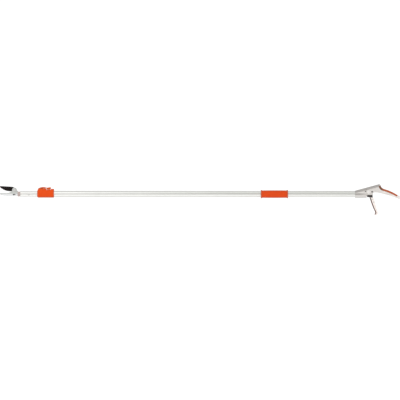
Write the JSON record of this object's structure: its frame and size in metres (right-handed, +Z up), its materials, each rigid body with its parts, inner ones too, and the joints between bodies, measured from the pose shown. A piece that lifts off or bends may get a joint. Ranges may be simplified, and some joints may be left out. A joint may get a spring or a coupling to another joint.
{
  "type": "telescoping pole pruner",
  "caption": "Long-reach telescoping pole pruner: bypass jaws on a two-lobe aluminium pole, orange flip lock and grip, and a cast handle with a squeeze lever.",
  "frame": {"origin": "on the pole's line at the middle of the front grip", "axes": "+X along the pole towards the handle, -X towards the jaws, +Z up as the tool is held level with its lever hanging down, +Y to the far side, where the nuts are"},
  "size_m": [1.8661, 0.038, 0.1436],
  "materials": {
    "pole_aluminium": "bright extruded and clear anodised, fine lines along the pole",
    "cast_aluminium": "silver painted die casting, satin",
    "plate_steel": "satin plated plate",
    "bright_steel": "zinc plated fasteners and bars",
    "blade_black": "black non-stick coating, satin",
    "blackened_steel": "blackened steel, satin",
    "orange_plastic": "moulded, semi-gloss",
    "orange_grip": "soft moulded grip, matt",
    "collar_plastic": "moulded, matt",
    "white_plastic": "slippery bearing plastic",
    "rubber_black": "matt",
    "brass": "turned bush"
  },
  "bodies": {
    "pole_and_handle": {"outer_pole": "pole_aluminium", "lock_housing_near": "orange_plastic", "lock_housing_far": "orange_plastic", "lock_screws": "bright_steel", "lock_hinge_pin": "bright_steel", "lock_liner": "white_plastic", "front_grip": "orange_grip", "handle_casting": "cast_aluminium", "handle_pad": "orange_grip", "handle_rivets": "bright_steel", "handle_set_screw": "blackened_steel", "rear_guide_plug": "white_plastic", "trigger_pivot_bolt": "bright_steel", "trigger_pivot_nut": "bright_steel", "trigger_washers": "bright_steel", "return_spring": "bright_steel", "spring_anchor_pin": "rubber_black"},
    "trigger": {"trigger_lever": "cast_aluminium", "trigger_pad": "orange_grip", "trigger_yoke": "blackened_steel", "trigger_rivets": "bright_steel", "trigger_bush": "brass"},
    "rear_bar": {"rear_pull_bar": "bright_steel", "rear_bar_pin": "bright_steel"},
    "head": {"inner_pole": "pole_aluminium", "inner_pole_bush": "white_plastic", "neck_collar": "collar_plastic", "head_frame": "cast_aluminium", "counter_blade": "plate_steel", "head_rivets": "bright_steel", "blade_pivot_bolt": "bright_steel", "blade_pivot_nut": "bright_steel", "blade_washer": "bright_steel"},
    "front_bar": {"front_pull_bar": "bright_steel", "rod_clutch": "bright_steel", "clutch_rivets": "bright_steel", "draw_link": "bright_steel", "link_rivet": "bright_steel", "drive_pin": "blackened_steel"},
    "blade": {"cutting_blade": "blade_black", "blade_bush": "brass"},
    "lock_cam": {"lock_lever": "orange_plastic"},
    "lock_shoe": {"brake_shoe": "rubber_black"}
  },
  "joints": [
    {"name": "trigger_pull", "type": "hinge", "parent": "pole_and_handle", "child": "trigger", "pos_m": [0.4338, 0, 0.0095], "axis": [0, -1, 0], "range_deg": [0, 46], "stiffness_Nm_per_rad": 1.5, "springref_deg": -28.65},
    {"name": "rear_bar_slide", "type": "slide", "parent": "pole_and_handle", "child": "rear_bar", "axis": [1, 0, 0], "range_m": [0, 0.00977]},
    {"name": "pole_extend", "type": "slide", "parent": "pole_and_handle", "child": "head", "axis": [-1, 0, 0], "range_m": [0, 1.2]},
    {"name": "front_bar_slide", "type": "slide", "parent": "head", "child": "front_bar", "axis": [1, 0, 0], "range_m": [0, 0.00977]},
    {"name": "blade_close", "type": "hinge", "parent": "head", "child": "blade", "pos_m": [-1.1955, 0, 0.0193], "axis": [0, -1, 0], "range_deg": [0, 25.86]},
    {"name": "lock_lever_open", "type": "hinge", "parent": "pole_and_handle", "child": "lock_cam", "pos_m": [-1.077, 0, 0.022], "axis": [0, -1, 0], "range_deg": [0, 80]},
    {"name": "brake_shoe_lift", "type": "slide", "parent": "pole_and_handle", "child": "lock_shoe", "axis": [0, 0, 1], "range_m": [0, 0.00121]}
  ],
  "couplings": [
    {"joint": "rear_bar_slide", "follows": "trigger_pull", "m_per_rad": 0.012157},
    {"joint": "front_bar_slide", "follows": "trigger_pull", "m_per_rad": 0.012157},
    {"joint": "blade_close", "follows": "trigger_pull", "ratio": 0.56105},
    {"joint": "brake_shoe_lift", "follows": "lock_lever_open", "m_per_rad": 0.00085944}
  ]
}
